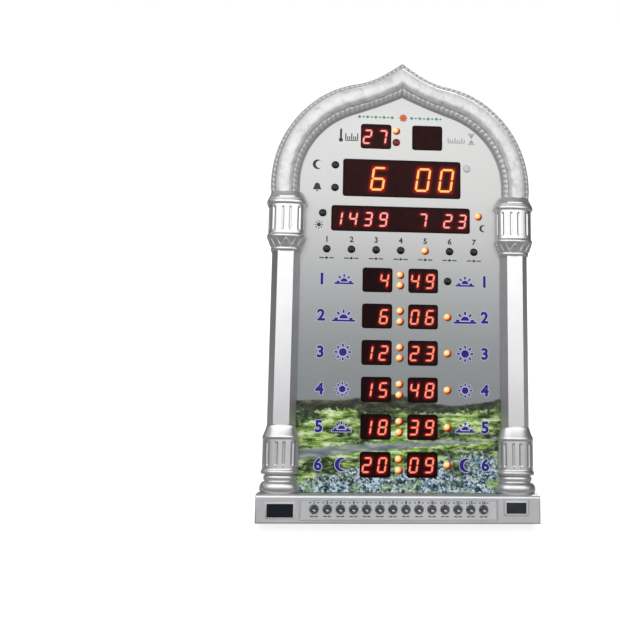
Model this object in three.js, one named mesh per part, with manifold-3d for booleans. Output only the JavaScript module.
// A leaning desk clock in the form of a pointed arch on two columns: a front frame, a printed dial with
// lamp displays, a row of push buttons, a terraced rear cover and a folding stand. Millimetres, +Z up.
// The clock is drawn upright, with x to the viewer's right, y to the rear and z up the dial. Its group
// is then leaned back, so that it stands on its lower rear edge and on the foot of the stand.

import * as THREE from 'three';
import { mergeVertices } from 'three/addons/utils/BufferGeometryUtils.js';
import Module from 'manifold-3d';

const wasm = await Module();
wasm.setup();

const degree = Math.PI / 180;

// Sizes that many pieces share.
const gap = 0.3; // clearance between neighbouring pieces
const overrun = 1; // how far a cutter runs past the face that it opens
const wall = 2.4; // moulded wall of the frame and the cover
const seam = 21.2; // depth of the front frame, where the rear cover begins
const outlineSteps = 6; // straight pieces that stand for each curve of an outline

const base = { width: 227.4, height: 23.2, edge: 0.8, wireGap: 60 };

// A column stands on the base. Its sections are squared half ovals in front of the spread plane.
const column = { inset: 18.1, spread: 11, sink: 0.6, steps: 16, squareness: 0.78, bevelSteps: 4, flatShare: 0.56 };
const columnX = base.width / 2 - column.inset;

// The arch outlines share one spring height. Each has a straight side, a side arc, a tighter shoulder arc
// and a drawn-up crown, and stands out from the column's axis by its overhang.
const archSpring = 272;
const outerArch = {
  overhang: 13.6,
  lift: 0,
  rise: 116.7,
  sideRadius: 103.5,
  sideTurn: 50 * degree,
  shoulderRadius: 75.5,
  shoulderTurn: 78.7 * degree,
  crownShare: 0.44,
};
const innerArch = {
  overhang: -11.3,
  lift: 8,
  rise: 77.2,
  sideRadius: 63.6,
  sideTurn: 40 * degree,
  shoulderRadius: 63.6,
  shoulderTurn: 69 * degree,
  crownShare: 0.55,
};
const innerHalf = columnX + innerArch.overhang;
const innerSpring = archSpring + innerArch.lift;

// The moulded roll of the arch. Its section runs from the outer edge (share 0) to the dial (share 1).
const archRoll = { below: 2.6, stations: 36, edge: 11.6, band: 8.8, crest: 3, bead: 9, cove: 10.6 };
const rollShares = { band: 0.05, start: 0.1, rise: 0.2, crest: 0.4, fall: 0.6, end: 0.7, bead: 0.76, cove: 0.84 };
const archFoot = archSpring - archRoll.below;

// The sections of a column's foot, by their height over the base.
const footLevels = {
  plinth: { up: 1, half: 16, reach: 10.8 },
  flareLow: { up: 6.3, half: 15.9, reach: 10.7 },
  flareHigh: { up: 8.8, half: 14.6, reach: 9.6 },
  grooveLow: { up: 9.6, half: 12.2, reach: 7.4 },
  ringLow: { up: 10.6, half: 12.9, reach: 8.1 },
  ringHigh: { up: 13.2, half: 12.9, reach: 8.1 },
  grooveHigh: { up: 14.2, half: 12.2, reach: 7.4 },
  rimLow: { up: 15.2, half: 15.3, reach: 10.1 },
  rimHigh: { up: 17.6, half: 15.3, reach: 10.1 },
  drumLow: { up: 18.4, half: 14.5, reach: 9.3 },
  drumHigh: { up: 42.8, half: 14.5, reach: 9.3 },
  lipLow: { up: 44.2, half: 14.8, reach: 9.6 },
  lipHigh: { up: 45.8, half: 14.2, reach: 9.1 },
  shaft: { up: 53.8, half: 11.6, reach: 6.6, form: 'shaft' },
};
// The sections of its capital, by their depth under the foot of the arch.
const capitalLevels = {
  shaft: { down: 50, half: 11.6, reach: 6.6, form: 'shaft' },
  neckLow: { down: 49.2, half: 12.7, reach: 7.6 },
  neckHigh: { down: 47, half: 12.7, reach: 7.6 },
  leafTop: { down: 39.9, half: 15.2, reach: 9.3 },
  ringLow: { down: 38.4, half: 16, reach: 10.1 },
  ringHigh: { down: 36.4, half: 16, reach: 10.1 },
  drumLow: { down: 35.4, half: 15.3, reach: 9.4 },
  drumHigh: { down: 10.6, half: 15.3, reach: 9.4 },
  rimLow: { down: 9.6, half: 16.9, reach: 10.6 },
  rimHigh: { down: 6, half: 16.6, reach: 10.4 },
  coneTop: { down: -0.4, half: 12.6, reach: 8 },
};
const columnLevels = [
  ...Object.values(footLevels).map((level) => ({ ...level, z: base.height + level.up })),
  ...Object.values(capitalLevels).map((level) => ({ ...level, z: archFoot - level.down })),
];
// Round-ended flutes are cut in the two drums of each column.
const flute = { radius: 1.15, margin: 1.2, turns: [-60, -36, -12, 12, 36, 60].map((turn) => turn * degree), sides: 6 };
const drums = [
  { ...footLevels.drumLow, foot: base.height + footLevels.drumLow.up, top: base.height + footLevels.drumHigh.up },
  { ...capitalLevels.drumLow, foot: archFoot - capitalLevels.drumLow.down, top: archFoot - capitalLevels.drumHigh.down },
];
const columnHollow = { front: 10, footUp: 2.4, down: 2.4 };

const dial = { front: 12, thickness: 1.5, lip: 3 };

// The lamp displays fill windows of the dial. Shares are of its half width, heights are from its spring.
const display = { set: 0.4, back: 20.6 };
const rows = { count: 6, below: 82.4, foot: 45.6, spacingShare: 0.2278, halfShare: 0.1459, height: 20.2 };
const upperDisplays = {
  temperature_display: { xShare: -0.261, up: 42.2, halfShare: 0.1518, height: 21.4 },
  auxiliary_display: { xShare: 0.261, up: 42.2, halfShare: 0.1518, height: 21.4 },
  time_display: { xShare: 0.0071, up: 5.4, halfShare: 0.5931, height: 32.2 },
  date_display: { xShare: 0, up: -30.1, halfShare: 0.6951, height: 21.6 },
};

// Single lamps stand on strips in front of the main board and look out through holes of the dial.
const lamp = { radius: 2.35, proud: 1.1, rimShare: 0.72, riseShare: 0.6, sides: 6 };
const strip = { width: 6, thickness: 2 };
const dayLamps = { count: 7, below: 56.8, pitchShare: 0.2456 };
const colonLamps = { x: 0, half: 4.4 };
const rowLamps = { xShare: 0.4721 };
const temperatureLamps = { xShare: -0.0546, upper: 47.5, lower: 37.4 };
const sideLamps = { xShare: 0.6667, upper: 16, lower: -3.8, dateShare: 0.7829, dateUp: -26 };

const mainBoard = { thickness: 1.6, side: 4.3, shoulder: -10, neckSide: 18.3, neckUp: 30, top: 56, topSide: 44.3 };

const buttonPanel = { side: 34.9, height: 16.2, z: 10.7, thickness: 1, recess: 1.4, border: 3 };
const button = {
  count: 14,
  margin: 11.2,
  z: 11.1,
  radiusShare: 0.327,
  proud: 1.9,
  domeRise: 1.8,
  domeShare: 0.7,
  flangeShare: 0.4135,
  flangeThickness: 1,
  stem: 1.6,
  travel: 0.8,
  sides: 8,
};
const buttonBoard = { front: 7.4, thickness: 1.6, switchSize: 6, switchDepth: 2.2, leftSide: 6.5, rightSide: 30.5 };
const irWindow = { side: 19.4, z: 9.9, width: 20.6, height: 10.4, thickness: 1.2, edge: 0.4, sightWidth: 13, sightHeight: 6 };
const badge = { side: 19.7, z: 12.4, width: 19.8, height: 12.2, thickness: 1, proud: 0.4, edge: 0.3 };

// The rear cover steps back from a flange to a terrace and from there to a plateau.
const flange = { inset: 2, baseInset: 0.6, back: 24 };
const terrace = {
  overhang: -9.6,
  lift: -4,
  rise: 83,
  sideRadius: 82,
  sideTurn: 50 * degree,
  shoulderRadius: 62,
  shoulderTurn: 80 * degree,
  crownShare: 0.5,
  foot: 24.8,
  back: 33.5,
  edge: 2.6,
};
const plateau = { halfWidth: 56, lift: 5, back: 44, panelHalf: 40, edge: 2 };
const soundSlot = { count: 7, width: 2, pitch: 5, depth: 5 };
const boss = { radius: 3.6, hole: 1.8, depth: 9.2, sides: 8 };
const screw = { head: 2.9, headHeight: 0.9, sink: 1.3, shank: 1.45, length: 9, drive: 1, driveDepth: 0.5, sides: 8 };
// The cover's screws, as pairs at three heights and one under the crown, measured in from the column's axis.
const screwPairs = {
  low: { inset: 0.6, z: 87 },
  high: { inset: 0, z: 193 },
  shoulder: { inset: 4.2, z: archSpring + 34 },
};
const crownScrew = { under: 15.3 };
const coverScrews = [
  ...Object.values(screwPairs).flatMap(({ inset, z }) => [-1, 1].map((side) => ({ x: side * (columnX - inset), z }))),
  { x: 0, z: archSpring + outerArch.rise - crownScrew.under },
];

// The stand nests round the lower part of the plateau and swings out about two pins.
const stand = {
  length: 175,
  legWidth: 15.4,
  barHeight: 15,
  innerCorner: 4,
  edge: 1.2,
  openAngle: 37 * degree,
  pivotZ: 200,
  headroom: 1.8,
};
const pin = { radius: 2, innerEnd: 34.4, gripShare: 0.75, sides: 12, play: 0.06 };
const notch = { width: 3.2, height: 2.4, depth: 1.6 };
const heelHeight = 0.8; // how high the lower rear edge of the cover is cut to lie flat on the table

const speaker = { radius: 25, z: 108, rim: 2, basket: 17, basketDepth: 8, magnet: 14, depth: 15, sides: 18 };
const cell = { radius: 10, thickness: 3.2, x: 46, up: 12, sides: 18 };

// The controls and sockets in the side wall of the right column.
const wheel = { radius: 10, thickness: 3.6, proud: 1.2, y: 18.4, z: 127, teeth: 24, toothDepth: 0.5 };
const wheelSlot = { height: 14, width: 4.6, room: 0.6 };
const control = { size: 9, shaft: 1.9, sides: 12 };
const audioSocket = { y: 17.6, z: 111, size: 6, bore: 1.75, collar: 2.5, length: 9, sides: 14 };
const powerSocket = { y: 17, z: 101.6, width: 7, height: 4.6, length: 11.4, rim: 0.8, depth: 7, tongue: 0.9 };
const resetHole = { y: 18.2, z: 138.6, radius: 1.1, sides: 12 };

// Places that follow from the sizes above.
const dialBack = dial.front + dial.thickness;
const boardFront = display.back + gap;
const coverFront = seam + gap;
const columnSide = columnX + footLevels.shaft.half;
const hollowInner = innerHalf + dial.lip + wall;
const hollowOuter = columnSide - wall;
const standDepth = plateau.back - terrace.back - gap;
const pivot = { y: plateau.back - standDepth / 2, z: stand.pivotZ };
const rebateTop = pivot.z + standDepth / 2 + stand.headroom;
const plateauFoot = pivot.z - stand.length + stand.barHeight + gap;
const panelTop = rebateTop + plateau.panelHalf;
const panelInside = plateau.panelHalf - wall;
const footPoint = {
  y: pivot.y + stand.length * Math.sin(stand.openAngle),
  z: pivot.z - stand.length * Math.cos(stand.openAngle),
};
const lean = Math.atan2(footPoint.z - heelHeight, footPoint.y - flange.back);

// The colours and finishes of the clock.
const finish = (color, roughness, metalness) => new THREE.MeshStandardMaterial({ color, roughness, metalness });
const silver = finish('#b9bcbe', 0.32, 0.75);
const white = finish('#ecebef', 0.42, 0);
const printed = finish('#c4ccd2', 0.3, 0);
const smoked = finish('#1f0b0b', 0.18, 0);
const lampRed = finish('#d8401c', 0.25, 0);
const chrome = finish('#dadcde', 0.08, 1);
const boardGreen = finish('#1f6a3f', 0.5, 0);
const navy = finish('#151b33', 0.15, 0);
const darkPlastic = finish('#1a1a1c', 0.5, 0);
const steel = finish('#9a9c9f', 0.35, 1);

// Turns a closed three.js geometry into a solid whose faces point out.
function solid(geometry) {
  const plain = geometry.clone();
  plain.deleteAttribute('normal');
  plain.deleteAttribute('uv');
  const merged = mergeVertices(plain);
  const vertProperties = merged.attributes.position.array;
  const triVerts = new Uint32Array(merged.index.array);
  if (signedVolume(vertProperties, triVerts) < 0) {
    triVerts.reverse();
  }
  return new wasm.Manifold(new wasm.Mesh({ numProp: 3, vertProperties, triVerts }));
}

function signedVolume(positions, triangles) {
  const corner = (i) => new THREE.Vector3().fromArray(positions, 3 * triangles[i]);
  let sum = 0;
  for (let i = 0; i < triangles.length; i += 3) {
    sum += corner(i).dot(corner(i + 1).cross(corner(i + 2)));
  }
  return sum;
}

// Turns a solid into a named mesh.
function piece(name, shape, material) {
  const { numProp, vertProperties, triVerts } = shape.getMesh();
  const geometry = new THREE.BufferGeometry();
  const buffer = new THREE.InterleavedBuffer(vertProperties, numProp);
  geometry.setAttribute('position', new THREE.InterleavedBufferAttribute(buffer, 3, 0));
  geometry.setIndex(new THREE.BufferAttribute(triVerts, 1));
  geometry.computeVertexNormals();
  const mesh = new THREE.Mesh(geometry, material);
  mesh.name = name;
  return mesh;
}

function join(shapes) {
  return shapes.reduce((whole, shape) => whole.add(shape));
}

function cut(whole, shapes) {
  return shapes.reduce((rest, shape) => rest.subtract(shape), whole);
}

// An outline in x and z, extruded from one depth to another.
function prism(points, front, back) {
  const geometry = new THREE.ExtrudeGeometry(new THREE.Shape(points), { depth: back - front, bevelEnabled: false });
  geometry.rotateX(Math.PI / 2);
  geometry.translate(0, back, 0);
  return solid(geometry);
}

// The same with rounded edges, at its front, at its back or at both.
function softPrism(points, front, back, edge, ends) {
  const start = ends === 'back' ? front - 2 * edge : front;
  const finishAt = ends === 'front' ? back + 2 * edge : back;
  const geometry = new THREE.ExtrudeGeometry(new THREE.Shape(points), {
    depth: finishAt - start - 2 * edge,
    bevelThickness: edge,
    bevelSize: edge,
    bevelOffset: -edge,
    bevelSegments: 2,
  });
  geometry.rotateX(Math.PI / 2);
  geometry.translate(0, finishAt - edge, 0);
  const bounds = new THREE.Box2().setFromPoints(points).expandByScalar(overrun);
  const limits = [bounds.min.x, bounds.max.x, bounds.min.y, bounds.max.y];
  const first = ends === 'back' ? front : front - overrun;
  const last = ends === 'front' ? back : back + overrun;
  return solid(geometry).intersect(box(limits, first, last));
}

// An outline in y and z, extruded from left to right.
function crossPrism(points, left, right) {
  const geometry = new THREE.ExtrudeGeometry(new THREE.Shape(points), { depth: right - left, bevelEnabled: false });
  const turn = new THREE.Matrix4();
  turn.makeBasis(new THREE.Vector3(0, 1, 0), new THREE.Vector3(0, 0, 1), new THREE.Vector3(1, 0, 0));
  geometry.applyMatrix4(turn);
  geometry.translate(left, 0, 0);
  return solid(geometry);
}

// A box from its limits in x and z, and its two depths.
function box([left, right, bottom, top], front, back) {
  const geometry = new THREE.BoxGeometry(right - left, back - front, top - bottom);
  geometry.translate((left + right) / 2, (front + back) / 2, (bottom + top) / 2);
  return solid(geometry);
}

function limitsAround({ x, z, width, height }, room = 0) {
  const halfWidth = width / 2 + room;
  const halfHeight = height / 2 + room;
  return [x - halfWidth, x + halfWidth, z - halfHeight, z + halfHeight];
}

function rectangle([left, right, bottom, top]) {
  return [
    new THREE.Vector2(left, bottom),
    new THREE.Vector2(right, bottom),
    new THREE.Vector2(right, top),
    new THREE.Vector2(left, top),
  ];
}

// A cylinder from front to back.
function rod({ x, z }, radius, front, back, sides) {
  const geometry = new THREE.CylinderGeometry(radius, radius, back - front, sides);
  geometry.translate(x, (front + back) / 2, z);
  return solid(geometry);
}

// A cylinder from left to right.
function crossRod({ y, z }, radius, left, right, sides) {
  const geometry = new THREE.CylinderGeometry(radius, radius, right - left, sides);
  geometry.rotateZ(Math.PI / 2);
  geometry.translate((left + right) / 2, y, z);
  return solid(geometry);
}

// The radius of a faceted bore in which a faceted shaft turns freely.
function boreRadius(radius, sides) {
  return (radius + pin.play) / Math.cos(Math.PI / sides);
}

// A shape turned round the front-to-back axis, from pairs of radius and depth.
function turned(profile, sides) {
  return solid(new THREE.LatheGeometry(profile.map(([r, y]) => new THREE.Vector2(r, y)), sides));
}

// A closed skin over rings of equal counts. The first and last rings lie flat in z.
function loft(rings) {
  const count = rings[0].length;
  const index = [];
  for (let r = 0; r + 1 < rings.length; r += 1) {
    for (let i = 0; i < count; i += 1) {
      const a = r * count + i;
      const b = r * count + ((i + 1) % count);
      index.push(a, b, b + count, a, b + count, a + count);
    }
  }
  index.push(...lid(rings[0], 0, false));
  index.push(...lid(rings[rings.length - 1], (rings.length - 1) * count, true));
  const geometry = new THREE.BufferGeometry();
  const positions = rings.flat().flatMap((point) => point.toArray());
  geometry.setAttribute('position', new THREE.Float32BufferAttribute(positions, 3));
  geometry.setIndex(index);
  return solid(geometry);
}

function lid(ring, offset, isLast) {
  const contour = ring.map((point) => new THREE.Vector2(point.x, point.y));
  const climbs = !THREE.ShapeUtils.isClockWise(contour);
  const faces = THREE.ShapeUtils.triangulateShape(contour, []);
  const ordered = climbs === isLast ? faces : faces.map(([a, b, c]) => [a, c, b]);
  return ordered.flat().map((corner) => corner + offset);
}

// The right half of an arch, from its foot up to its crown on the centre line.
function archPath(arch, foot) {
  const path = new THREE.Path();
  const halfWidth = columnX + arch.overhang;
  const spring = archSpring + arch.lift;
  const sideCentre = new THREE.Vector2(halfWidth - arch.sideRadius, spring);
  const bend = new THREE.Vector2(Math.cos(arch.sideTurn), Math.sin(arch.sideTurn));
  const shoulderCentre = sideCentre.clone().addScaledVector(bend, arch.sideRadius - arch.shoulderRadius);
  path.moveTo(halfWidth, foot);
  path.lineTo(halfWidth, spring);
  path.absarc(sideCentre.x, sideCentre.y, arch.sideRadius, 0, arch.sideTurn);
  path.absarc(shoulderCentre.x, shoulderCentre.y, arch.shoulderRadius, arch.sideTurn, arch.shoulderTurn);
  const end = path.currentPoint.clone();
  const reach = (end.x * arch.crownShare) / Math.sin(arch.shoulderTurn);
  const controlX = end.x - reach * Math.sin(arch.shoulderTurn);
  const controlZ = end.y + reach * Math.cos(arch.shoulderTurn);
  path.quadraticCurveTo(controlX, controlZ, 0, spring + arch.rise);
  return path;
}

// Moves a half outline outwards, and ends it on the centre line again.
function shifted(half, distance) {
  const moved = half.map((point, i) => {
    const before = half[Math.max(i - 1, 0)];
    const after = half[Math.min(i + 1, half.length - 1)];
    const along = after.clone().sub(before).normalize();
    return new THREE.Vector2(point.x + along.y * distance, point.y - along.x * distance);
  });
  const kept = moved.slice(0, -1).filter((point) => point.x > 0);
  const [before, last] = kept.slice(-2);
  const slope = (last.y - before.y) / (last.x - before.x);
  kept.push(new THREE.Vector2(0, last.y - slope * last.x));
  return kept;
}

function bothSides(half) {
  const left = half.slice(0, -1).map((point) => new THREE.Vector2(-point.x, point.y));
  return [...half, ...left.reverse()];
}

// The whole outline of an arch from a flat foot, moved outwards by a distance.
function archOutline(arch, foot, distance = 0) {
  const points = archPath(arch, foot).getPoints(outlineSteps);
  const apart = points.filter((point, i) => i === 0 || point.distanceTo(points[i - 1]) > gap);
  return bothSides(shifted(apart, distance));
}

// One level of a column, from its left side round its front to its right side, then its rear corners.
function columnRing(level, centreX) {
  const ring = [];
  for (let i = 0; i <= column.steps; i += 1) {
    const { across, forward } = level.form === 'shaft' ? shaftSection(level, i) : ovalSection(level, ovalTurn(i));
    ring.push(new THREE.Vector3(centreX + across, column.spread - forward, level.z));
  }
  ring.push(new THREE.Vector3(centreX + level.half, seam, level.z));
  ring.push(new THREE.Vector3(centreX - level.half, seam, level.z));
  return ring;
}

// The angle of a point of the ring, from the middle of the front.
function ovalTurn(i) {
  return (i / column.steps - 0.5) * Math.PI;
}

function ovalSection({ half, reach }, turn) {
  const across = half * Math.sign(turn) * Math.abs(Math.sin(turn)) ** column.squareness;
  return { across, forward: reach * Math.abs(Math.cos(turn)) ** column.squareness };
}

// The shaft has a flat front between two bevelled sides.
function shaftSection({ half, reach }, i) {
  const { steps, bevelSteps, flatShare } = column;
  const rise = Math.min(i, steps - i, bevelSteps) / bevelSteps;
  const side = Math.sign(i - steps / 2);
  const onFlat = ((i - steps / 2) / (steps / 2 - bevelSteps)) * flatShare;
  const onBevel = side * (1 - (1 - flatShare) * rise);
  return { across: half * (rise < 1 ? onBevel : onFlat), forward: reach * rise };
}

function fluteCutters(side) {
  return drums.flatMap((drum) =>
    flute.turns.map((turn) => {
      const { across, forward } = ovalSection(drum, turn);
      const straight = drum.top - drum.foot - 2 * (flute.margin + flute.radius);
      const geometry = new THREE.CapsuleGeometry(flute.radius, straight, 1, flute.sides);
      geometry.rotateX(Math.PI / 2);
      geometry.translate(side * columnX + across, column.spread - forward, (drum.foot + drum.top) / 2);
      return solid(geometry);
    }),
  );
}

function columnSolid(side) {
  const first = columnLevels[0];
  const levels = [{ ...first, z: base.height - column.sink }, ...columnLevels];
  return cut(loft(levels.map((level) => columnRing(level, side * columnX))), fluteCutters(side));
}

// The roll section at one station of the arch, between a point of the outer and one of the inner outline.
function rollRing(outer, inner) {
  const shares = rollShares;
  const section = [
    [0, seam],
    [0, archRoll.edge],
    [shares.band, archRoll.band],
    [shares.start, archRoll.band],
    [shares.rise, (archRoll.band + 2 * archRoll.crest) / 3],
    [shares.crest, archRoll.crest],
    [shares.fall, (archRoll.bead + 2 * archRoll.crest) / 3],
    [shares.end, archRoll.bead],
    [shares.bead, archRoll.bead - dial.thickness / 2],
    [shares.cove, archRoll.bead],
    [1, archRoll.cove],
    [1, seam],
  ];
  return section.map(([share, y]) => {
    const at = outer.clone().lerp(inner, share);
    return new THREE.Vector3(at.x, y, at.y);
  });
}

function archSolid() {
  const outer = archPath(outerArch, archFoot).getSpacedPoints(archRoll.stations / 2);
  const inner = archPath(innerArch, archFoot).getSpacedPoints(archRoll.stations / 2);
  const mirror = (point) => new THREE.Vector2(-point.x, point.y);
  const outerRun = [...outer.map(mirror), ...outer.slice(0, -1).reverse()];
  const innerRun = [...inner.map(mirror), ...inner.slice(0, -1).reverse()];
  return loft(outerRun.map((point, i) => rollRing(point, innerRun[i])));
}

// The front frame: base, columns and arch in one moulding, hollow from the rear.
function frontFrame() {
  const baseLimits = [-base.width / 2, base.width / 2, 0, base.height];
  const whole = join([
    softPrism(rectangle(baseLimits), 0, seam, base.edge, 'front'),
    columnSolid(-1),
    columnSolid(1),
    archSolid(),
  ]);
  const open = cut(whole, [dialPocket(), ...columnHollows(), archHollow(), baseHollow(), ...faceCuts(), ...sideCuts()]);
  const bosses = coverScrews.map((place) => rod(place, boss.radius, columnHollow.front - overrun, seam, boss.sides));
  const holes = coverScrews.map((place) => rod(place, boss.hole, seam - boss.depth, seam + overrun, boss.sides));
  return piece('front_frame', cut(join([open, ...bosses]), holes), silver);
}

function dialPocket() {
  return prism(archOutline(innerArch, base.height, dial.lip), dial.front - gap, seam + overrun);
}

function columnHollows() {
  const { front } = columnHollow;
  const foot = base.height + columnHollow.footUp;
  const top = archFoot - columnHollow.down;
  const right = box([hollowInner, hollowOuter, foot, top], front, seam + overrun);
  const left = box([-hollowOuter, -hollowInner, foot, top], front, seam + overrun);
  return [right, left];
}

function archHollow() {
  const foot = archFoot - columnHollow.down - overrun;
  const outer = prism(archOutline(outerArch, foot, -wall), columnHollow.front, seam + overrun);
  const core = archOutline(innerArch, foot - overrun, dial.lip + wall);
  return outer.subtract(prism(core, columnHollow.front - overrun, seam + 2 * overrun));
}

function baseHollow() {
  const half = base.width / 2 - wall;
  const main = box([-half, half, wall, base.height - wall], wall, seam + overrun);
  const wires = { x: 0, z: base.height - wall / 2, width: base.wireGap, height: wall + overrun };
  return main.add(box(limitsAround(wires), dialBack + gap, seam + overrun));
}

function panelPlace() {
  return { ...buttonPanel, x: 0, width: base.width - 2 * buttonPanel.side };
}

function windowPlace() {
  return { ...irWindow, x: irWindow.side - base.width / 2 };
}

function badgePlace() {
  return { ...badge, x: base.width / 2 - badge.side };
}

// The seats of the button panel, the receiver window and the badge in the front of the base.
function faceCuts() {
  const panel = panelPlace();
  const window = windowPlace();
  const sight = { ...window, width: irWindow.sightWidth, height: irWindow.sightHeight };
  return [
    box(limitsAround(panel, gap), -overrun, buttonPanel.recess),
    box(limitsAround(panel, -buttonPanel.border), 0, wall + overrun),
    box(limitsAround(window, gap), -overrun, irWindow.thickness + gap),
    box(limitsAround(sight), 0, wall + overrun),
    box(limitsAround(badgePlace(), gap), -overrun, badge.thickness - badge.proud + gap),
  ];
}

// The openings in the side of the right column.
function sideCuts() {
  const inside = hollowOuter - overrun;
  const outside = columnSide + overrun;
  const half = wheel.thickness / 2 + wheelSlot.room;
  const wheelHub = { x: wheelCentreX(), z: wheel.z };
  const slot = [inside, outside, wheel.z - wheelSlot.height / 2, wheel.z + wheelSlot.height / 2];
  const mouth = powerSocket.width / 2 + gap;
  const mouthHeight = powerSocket.height / 2 + gap;
  return [
    rod(wheelHub, wheel.radius + wheelSlot.room, wheel.y - half, wheel.y + half, 28),
    box(slot, wheel.y - wheelSlot.width / 2, wheel.y + wheelSlot.width / 2),
    crossRod(audioSocket, audioSocket.collar + gap, inside, outside, audioSocket.sides),
    box(
      [inside, outside, powerSocket.z - mouthHeight, powerSocket.z + mouthHeight],
      powerSocket.y - mouth,
      powerSocket.y + mouth,
    ),
    crossRod(resetHole, resetHole.radius, inside, outside, resetHole.sides),
  ];
}

function wheelCentreX() {
  return columnSide + wheel.proud - wheel.radius;
}

// Where each row of displays stands, from the top row down.
function rowHeights() {
  const top = innerSpring - rows.below;
  const pitch = (top - rows.foot) / (rows.count - 1);
  return Array.from({ length: rows.count }, (_, i) => top - i * pitch);
}

function rowDisplayPlaces() {
  const sides = { hours: -1, minutes: 1 };
  return rowHeights().flatMap((z, i) =>
    Object.entries(sides).map(([word, side]) => ({
      name: `row_${i + 1}_${word}_display`,
      x: side * rows.spacingShare * innerHalf,
      z,
      width: 2 * rows.halfShare * innerHalf,
      height: rows.height,
    })),
  );
}

function displayPlaces() {
  const upper = Object.entries(upperDisplays).map(([name, { xShare, up, halfShare, height }]) => ({
    name,
    x: xShare * innerHalf,
    z: innerSpring + up,
    width: 2 * halfShare * innerHalf,
    height,
  }));
  return [...upper, ...rowDisplayPlaces()];
}

// Every strip of single lamps: its lamps, and the flat bars that carry them.
function lampStrips() {
  const half = strip.width / 2;
  const upright = (x, low, high) => [x - half, x + half, low - half, high + half];
  const level = (z, left, right) => [left - half, right + half, z - half, z + half];
  const dayPitch = dayLamps.pitchShare * innerHalf;
  const dayX = Array.from({ length: dayLamps.count }, (_, i) => (i - (dayLamps.count - 1) / 2) * dayPitch);
  const dayZ = innerSpring - dayLamps.below;
  const heights = rowHeights();
  const lowest = heights[heights.length - 1];
  const rowX = rowLamps.xShare * innerHalf;
  const temperature = {
    x: temperatureLamps.xShare * innerHalf,
    upper: innerSpring + temperatureLamps.upper,
    lower: innerSpring + temperatureLamps.lower,
  };
  const side = {
    x: sideLamps.xShare * innerHalf,
    upper: innerSpring + sideLamps.upper,
    lower: innerSpring + sideLamps.lower,
    dateX: sideLamps.dateShare * innerHalf,
    dateZ: innerSpring + sideLamps.dateUp,
  };
  return {
    day_lamp_strip: {
      lamps: dayX.map((x) => ({ x, z: dayZ })),
      bars: [level(dayZ, dayX[0], dayX[dayX.length - 1])],
    },
    colon_lamp_strip: {
      lamps: heights.flatMap((z) => [-1, 1].map((end) => ({ x: colonLamps.x, z: z + end * colonLamps.half }))),
      bars: [upright(colonLamps.x, lowest - colonLamps.half, heights[0] + colonLamps.half)],
    },
    row_lamp_strip: {
      lamps: heights.map((z) => ({ x: rowX, z })),
      bars: [upright(rowX, lowest, heights[0])],
    },
    temperature_lamp_strip: {
      lamps: [temperature.upper, temperature.lower].map((z) => ({ x: temperature.x, z })),
      bars: [upright(temperature.x, temperature.lower, temperature.upper)],
    },
    left_lamp_strip: {
      lamps: [
        { x: -side.x, z: side.upper },
        { x: -side.x, z: side.lower },
        { x: -side.dateX, z: side.dateZ },
      ],
      bars: [
        upright(-side.x, side.lower, side.upper),
        level(side.lower, -side.dateX, -side.x),
        upright(-side.dateX, side.dateZ, side.lower),
      ],
    },
    right_lamp_strip: {
      lamps: [
        { x: side.x, z: side.upper },
        { x: side.dateX, z: side.dateZ },
      ],
      bars: [level(side.upper, side.x, side.dateX), upright(side.dateX, side.dateZ, side.upper)],
    },
  };
}

function lampSolid({ x, z }) {
  const tip = dial.front - lamp.proud;
  const root = display.back - strip.thickness / 2;
  const profile = [
    [0, tip],
    [lamp.radius * lamp.rimShare, tip + (lamp.proud * (1 - lamp.riseShare))],
    [lamp.radius, tip + lamp.proud],
    [lamp.radius, root],
    [0, root],
  ];
  return turned(profile, lamp.sides).translate([x, 0, z]);
}

function lampStrip(name, { lamps, bars }) {
  const front = display.back - strip.thickness;
  const carrier = bars.map((limits) => box(limits, front, display.back));
  return piece(name, join([...carrier, ...lamps.map(lampSolid)]), lampRed);
}

// The dial: a printed panel with a window for each display and a hole for each lamp.
function dialPanel() {
  const outline = archOutline(innerArch, base.height + gap, dial.lip - gap);
  const windows = displayPlaces().map((place) => box(limitsAround(place, gap), dial.front - overrun, dialBack + overrun));
  const lamps = Object.values(lampStrips()).flatMap((group) => group.lamps);
  const holes = lamps.map((place) =>
    rod(place, lamp.radius + gap, dial.front - overrun, dialBack + overrun, lamp.sides),
  );
  return piece('dial_panel', cut(prism(outline, dial.front, dialBack), [...windows, ...holes]), printed);
}

function displayModule({ name, ...place }) {
  return piece(name, box(limitsAround(place), dial.front + display.set, display.back), smoked);
}

function mainBoardPiece() {
  const foot = terrace.foot + wall + gap;
  const half = [
    new THREE.Vector2(innerHalf - mainBoard.side, foot),
    new THREE.Vector2(innerHalf - mainBoard.side, innerSpring + mainBoard.shoulder),
    new THREE.Vector2(innerHalf - mainBoard.neckSide, innerSpring + mainBoard.neckUp),
    new THREE.Vector2(innerHalf - mainBoard.topSide, innerSpring + mainBoard.top),
  ];
  const left = half.map((point) => new THREE.Vector2(-point.x, point.y)).reverse();
  return piece('main_board', prism([...half, ...left], boardFront, boardFront + mainBoard.thickness), boardGreen);
}

function buttonPitch() {
  return (panelPlace().width - 2 * button.margin) / (button.count - 1);
}

function buttonPlaces() {
  const pitch = buttonPitch();
  return Array.from({ length: button.count }, (_, i) => ({ x: (i - (button.count - 1) / 2) * pitch, z: button.z }));
}

const panelBack = buttonPanel.recess - gap;

function buttonPanelPiece() {
  const front = panelBack - buttonPanel.thickness;
  const plate = box(limitsAround(panelPlace()), front, panelBack);
  const radius = button.radiusShare * buttonPitch() + gap;
  const holes = buttonPlaces().map((place) => rod(place, radius, front - overrun, panelBack + overrun, button.sides));
  return piece('button_panel', cut(plate, holes), silver);
}

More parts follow.
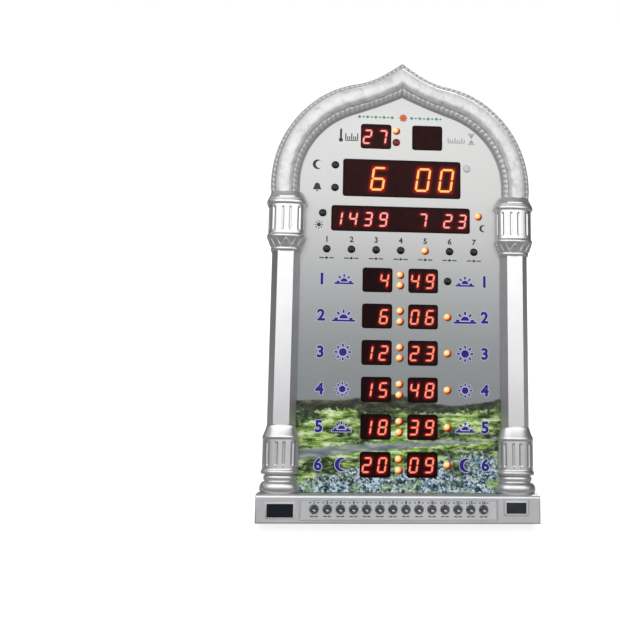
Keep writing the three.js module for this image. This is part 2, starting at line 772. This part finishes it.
// One push button, drawn round its own axis: a domed cap, a flange that the panel holds, and a stem.
function buttonPiece(place, i) {
  const radius = button.radiusShare * buttonPitch();
  const flangeRadius = button.flangeShare * buttonPitch();
  const flangeFront = panelBack + gap;
  const flangeBack = flangeFront + button.flangeThickness;
  const stemEnd = buttonBoard.front - buttonBoard.switchDepth - button.travel - gap;
  const profile = [
    [0, -button.proud],
    [radius * button.domeShare, -button.proud + button.domeRise * (1 - button.domeShare)],
    [radius, -button.proud + button.domeRise],
    [radius, flangeFront],
    [flangeRadius, flangeFront],
    [flangeRadius, flangeBack],
    [button.stem, flangeBack],
    [button.stem, stemEnd],
    [0, stemEnd],
  ];
  const mesh = piece(`button_${String(i + 1).padStart(2, '0')}`, turned(profile, button.sides), chrome);
  mesh.position.set(place.x, 0, place.z);
  return mesh;
}

// The board behind the buttons, with a switch for each and the receiver behind its window.
function buttonBoardPiece() {
  const { front, thickness, switchSize, switchDepth, leftSide, rightSide } = buttonBoard;
  const half = base.width / 2;
  const limits = [leftSide - half, half - rightSide, wall + gap, base.height - wall - gap];
  const switches = [...buttonPlaces(), windowPlace()].map(({ x, z }) =>
    box(limitsAround({ x, z, width: switchSize, height: switchSize }), front - switchDepth, front + thickness / 2),
  );
  return piece('button_board', join([box(limits, front, front + thickness), ...switches]), boardGreen);
}

function irWindowPiece() {
  return piece('ir_window', softPrism(rectangle(limitsAround(windowPlace())), 0, irWindow.thickness, irWindow.edge, 'front'), navy);
}

function badgePiece() {
  const front = -badge.proud;
  const outline = rectangle(limitsAround(badgePlace()));
  return piece('badge_plate', softPrism(outline, front, front + badge.thickness, badge.edge, 'front'), silver);
}

// The outline of the plateau: straight sides and a round top.
function plateauOutline(foot, inset = 0) {
  const radius = plateau.halfWidth - inset;
  const path = new THREE.Path();
  path.moveTo(-radius, foot);
  path.lineTo(radius, foot);
  path.absarc(0, archSpring + plateau.lift, radius, 0, Math.PI);
  return path.getPoints(9);
}

// The lower part of the plateau, which the folded stand encloses. Its corners follow the stand's.
function panelOutline() {
  const radius = stand.innerCorner - gap;
  const half = plateau.panelHalf;
  const path = new THREE.Path();
  path.moveTo(-half, panelTop);
  path.lineTo(-half, plateauFoot + radius);
  path.absarc(radius - half, plateauFoot + radius, radius, Math.PI, 1.5 * Math.PI);
  path.absarc(half - radius, plateauFoot + radius, radius, 1.5 * Math.PI, 2 * Math.PI);
  path.lineTo(half, panelTop);
  return path.getPoints(3);
}

// The rear cover: a flange, a terrace and a plateau, as one shell with open rebates for the stand.
function rearCover() {
  const baseHalf = base.width / 2 - flange.baseInset;
  const outer = join([
    prism(archOutline(outerArch, base.height - overrun, -flange.inset), coverFront, flange.back),
    box([-baseHalf, baseHalf, 0, base.height], coverFront, flange.back),
    softPrism(archOutline(terrace, terrace.foot), coverFront, terrace.back, terrace.edge, 'back'),
    softPrism(plateauOutline(rebateTop), coverFront, plateau.back, plateau.edge, 'back'),
    softPrism(panelOutline(), coverFront, plateau.back, plateau.edge, 'back'),
  ]);
  const inner = join([
    prism(archOutline(terrace, terrace.foot + wall, -wall), coverFront - overrun, terrace.back - wall),
    prism(plateauOutline(rebateTop + wall, wall), coverFront - overrun, plateau.back - wall),
    box([-panelInside, panelInside, plateauFoot + wall, panelTop], coverFront - overrun, plateau.back - wall),
  ]);
  return piece('rear_cover', cut(outer, [inner, standingCut(), ...screwSeats(), ...pinSeats(), ...soundCuts()]), white);
}

// What is cut from the lower rear edge so that the cover lies flat on the table.
function standingCut() {
  const slope = Math.tan(lean);
  const back = flange.back + overrun;
  const triangle = [
    new THREE.Vector2(back, -overrun),
    new THREE.Vector2(back, heelHeight + overrun * slope),
    new THREE.Vector2(flange.back - (heelHeight + overrun) / slope, -overrun),
  ];
  return crossPrism(triangle, -base.width, base.width);
}

function screwSeats() {
  return coverScrews.flatMap((place) => [
    rod(place, boss.hole, coverFront - overrun, flange.back + overrun, screw.sides),
    rod(place, screw.head + gap, flange.back - screw.sink, flange.back + overrun, screw.sides),
  ]);
}

function pinSeats() {
  const inside = panelInside - overrun;
  return [-1, 1].flatMap((side) => {
    const ends = [side * inside, side * (plateau.panelHalf + overrun)].sort((a, b) => a - b);
    const opening = { x: side * (plateau.panelHalf - notch.width / 2), z: pivot.z, ...notch };
    return [
      crossRod(pivot, boreRadius(pin.radius, pin.sides), ...ends, pin.sides),
      box(limitsAround(opening), plateau.back - notch.depth, plateau.back + overrun),
    ];
  });
}

// Slots in the lower wall of the plateau, which let the sound out.
function soundCuts() {
  const back = plateau.back - wall;
  return Array.from({ length: soundSlot.count }, (_, i) => {
    const x = (i - (soundSlot.count - 1) / 2) * soundSlot.pitch;
    const limits = [x - soundSlot.width / 2, x + soundSlot.width / 2, plateauFoot - overrun, plateauFoot + wall + overrun];
    return box(limits, back - soundSlot.depth, back);
  });
}

function coverScrew(place, i) {
  const under = flange.back - screw.sink + gap;
  const top = under + screw.headHeight;
  const profile = [
    [0, under - screw.length],
    [screw.shank, under - screw.length],
    [screw.shank, under],
    [screw.head, under],
    [screw.head, top],
    [screw.drive, top],
    [0, top - screw.driveDepth],
  ];
  const mesh = piece(`cover_screw_${i + 1}`, turned(profile, screw.sides), steel);
  mesh.position.set(place.x, 0, place.z);
  return mesh;
}

// The stand in its own frame: the pivot at the origin, the legs hanging down.
function standPiece() {
  const half = standDepth / 2;
  const frameShape = softPrism(standOutline(), -half, half, stand.edge, 'both');
  const sideShape = crossPrism(standSideOutline(half), -base.width, base.width);
  const bores = [-1, 1].map((side) => {
    const inner = side * (plateau.panelHalf - overrun);
    const deep = side * (pinEnd() + gap);
    const radius = boreRadius(pin.radius, pin.sides);
    return crossRod({ y: 0, z: 0 }, radius, Math.min(inner, deep), Math.max(inner, deep), pin.sides);
  });
  const mesh = piece('stand', cut(frameShape.intersect(sideShape), bores), white);
  mesh.position.set(0, pivot.y, pivot.z);
  mesh.rotation.x = stand.openAngle;
  return mesh;
}

function pinEnd() {
  return plateau.halfWidth - stand.legWidth + stand.legWidth * pin.gripShare;
}

function standOutline() {
  const outer = plateau.halfWidth;
  const inner = outer - stand.legWidth;
  const top = standDepth;
  const foot = -stand.length - standDepth;
  const bar = -stand.length + stand.barHeight;
  const path = new THREE.Path();
  path.moveTo(-outer, top);
  path.lineTo(-outer, foot);
  path.lineTo(outer, foot);
  path.lineTo(outer, top);
  path.lineTo(inner, top);
  path.lineTo(inner, bar + stand.innerCorner);
  path.absarc(inner - stand.innerCorner, bar + stand.innerCorner, stand.innerCorner, 0, -Math.PI / 2, true);
  path.absarc(-inner + stand.innerCorner, bar + stand.innerCorner, stand.innerCorner, -Math.PI / 2, -Math.PI, true);
  path.lineTo(-inner, top);
  return path.getPoints(3);
}

// The side view of a leg: a round top with a heel that stops against the terrace, and a foot cut level.
function standSideOutline(half) {
  const stop = stand.openAngle;
  const slope = Math.tan(stand.openAngle - lean);
  const heelY = (-half * (1 - Math.sin(stop))) / Math.cos(stop);
  const path = new THREE.Path();
  path.moveTo(-half, -stand.length + half * slope);
  path.lineTo(half, -stand.length - half * slope);
  path.absarc(0, 0, half, 0, Math.PI / 2);
  path.lineTo(heelY, half);
  path.absarc(0, 0, half, Math.PI - stop, Math.PI);
  return path.getPoints(5);
}

function hingePin(side, name) {
  const ends = [side * pin.innerEnd, side * pinEnd()];
  const shape = crossRod({ y: 0, z: 0 }, pin.radius, Math.min(...ends), Math.max(...ends), pin.sides);
  const mesh = piece(name, shape, steel);
  mesh.position.set(0, pivot.y, pivot.z);
  return mesh;
}

function speakerPiece() {
  const back = plateau.back - wall - gap;
  const { radius, rim, basket, basketDepth, magnet, depth, sides } = speaker;
  const profile = [
    [0, back - depth],
    [magnet, back - depth],
    [magnet, back - basketDepth - rim],
    [basket, back - basketDepth - rim],
    [radius, back - rim],
    [radius, back],
    [0, back],
  ];
  const mesh = piece('speaker', turned(profile, sides), darkPlastic);
  mesh.position.z = speaker.z;
  return mesh;
}

function backupCell() {
  const front = boardFront + mainBoard.thickness + gap;
  const place = { x: cell.x, z: innerSpring + cell.up };
  return piece('backup_cell', rod(place, cell.radius, front, front + cell.thickness, cell.sides), steel);
}

// The volume wheel in its own frame, with a toothed rim and a bore for the shaft of its control.
function volumeWheel() {
  const count = 2 * wheel.teeth;
  const rim = Array.from({ length: count }, (_, i) => {
    const radius = wheel.radius - (i % 2) * wheel.toothDepth;
    const angle = (i / count) * 2 * Math.PI;
    return new THREE.Vector2(radius * Math.cos(angle), radius * Math.sin(angle));
  });
  const half = wheel.thickness / 2;
  const boreSize = boreRadius(control.shaft, control.sides);
  const bore = rod({ x: 0, z: 0 }, boreSize, -half - overrun, half + overrun, control.sides);
  const mesh = piece('volume_wheel', prism(rim, -half, half).subtract(bore), darkPlastic);
  mesh.position.set(wheelCentreX(), wheel.y, wheel.z);
  return mesh;
}

function volumeControl() {
  const place = { x: wheelCentreX(), z: wheel.z, width: control.size, height: control.size };
  const back = wheel.y - wheel.thickness / 2 - gap;
  const body = box(limitsAround(place), columnHollow.front + gap, back);
  const shaft = rod(place, control.shaft, back - overrun, wheel.y + wheel.thickness / 2, control.sides);
  return piece('volume_control', body.add(shaft), darkPlastic);
}

function audioSocketPiece() {
  const { y, z, size, bore, collar, length, sides } = audioSocket;
  const inside = hollowOuter - gap;
  const body = box([inside - length, inside, z - size / 2, z + size / 2], y - size / 2, y + size / 2);
  const neck = crossRod(audioSocket, collar, inside - overrun, columnSide, sides);
  const hole = crossRod(audioSocket, bore, inside - length + wall, columnSide + overrun, sides);
  return piece('audio_socket', body.add(neck).subtract(hole), darkPlastic);
}

function powerSocketPiece() {
  const { y, z, width, height, length, rim, depth, tongue } = powerSocket;
  const section = (room, left, right) =>
    box([left, right, z - height / 2 + room, z + height / 2 - room], y - width / 2 + room, y + width / 2 - room);
  const body = section(0, columnSide - length, columnSide);
  const mouth = section(rim, columnSide - depth, columnSide + overrun);
  const blade = box(
    [columnSide - depth - overrun, columnSide - rim, z - tongue / 2, z + tongue / 2],
    y - width / 4,
    y + width / 4,
  );
  return piece('power_socket', body.subtract(mouth).add(blade), darkPlastic);
}

function clockPieces() {
  return [
    frontFrame(),
    dialPanel(),
    ...displayPlaces().map(displayModule),
    ...Object.entries(lampStrips()).map(([name, group]) => lampStrip(name, group)),
    mainBoardPiece(),
    buttonPanelPiece(),
    ...buttonPlaces().map(buttonPiece),
    buttonBoardPiece(),
    irWindowPiece(),
    badgePiece(),
    rearCover(),
    ...coverScrews.map(coverScrew),
    standPiece(),
    hingePin(-1, 'hinge_pin_left'),
    hingePin(1, 'hinge_pin_right'),
    speakerPiece(),
    backupCell(),
    volumeWheel(),
    volumeControl(),
    audioSocketPiece(),
    powerSocketPiece(),
  ];
}

// The clock leans back, and then stands with the middle of its box over the origin.
const clock = new THREE.Group();
clock.add(...clockPieces());
clock.rotation.x = -lean;

const part = new THREE.Group();
part.add(clock);
part.updateMatrixWorld(true);
const bounds = new THREE.Box3().setFromObject(part, true);
const middle = bounds.getCenter(new THREE.Vector3());
clock.position.set(-middle.x, -middle.y, -bounds.min.z);

export default part;
